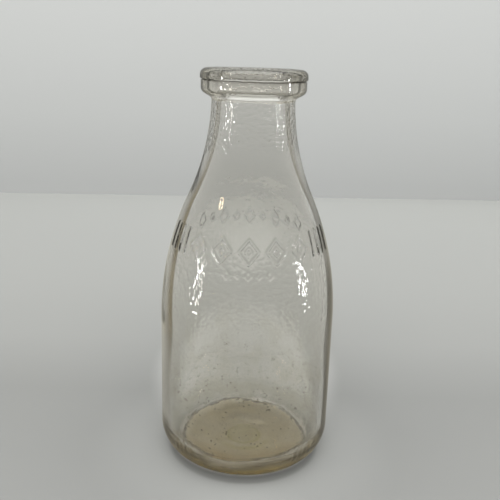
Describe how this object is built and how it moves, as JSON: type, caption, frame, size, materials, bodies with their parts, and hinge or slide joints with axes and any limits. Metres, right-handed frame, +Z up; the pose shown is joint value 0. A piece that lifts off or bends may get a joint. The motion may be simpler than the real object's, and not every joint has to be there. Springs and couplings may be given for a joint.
{
  "type": "glass milk bottle",
  "caption": "Round clear glass milk bottle with a long sloping shoulder, a thick collar and a recessed seat for a paper cap.",
  "frame": {"origin": "on the table under the centre of the base", "axes": "+Z up the bottle's axis, out of the mouth; +Y away from the side with the mould's front plate"},
  "size_m": [0.0994, 0.0994, 0.2222],
  "materials": {
    "glass": "clear, faintly straw-coloured pressed and blown glass with a fine hammered surface"
  },
  "bodies": {
    "root": {"bottle": "glass"}
  },
  "joints": []
}
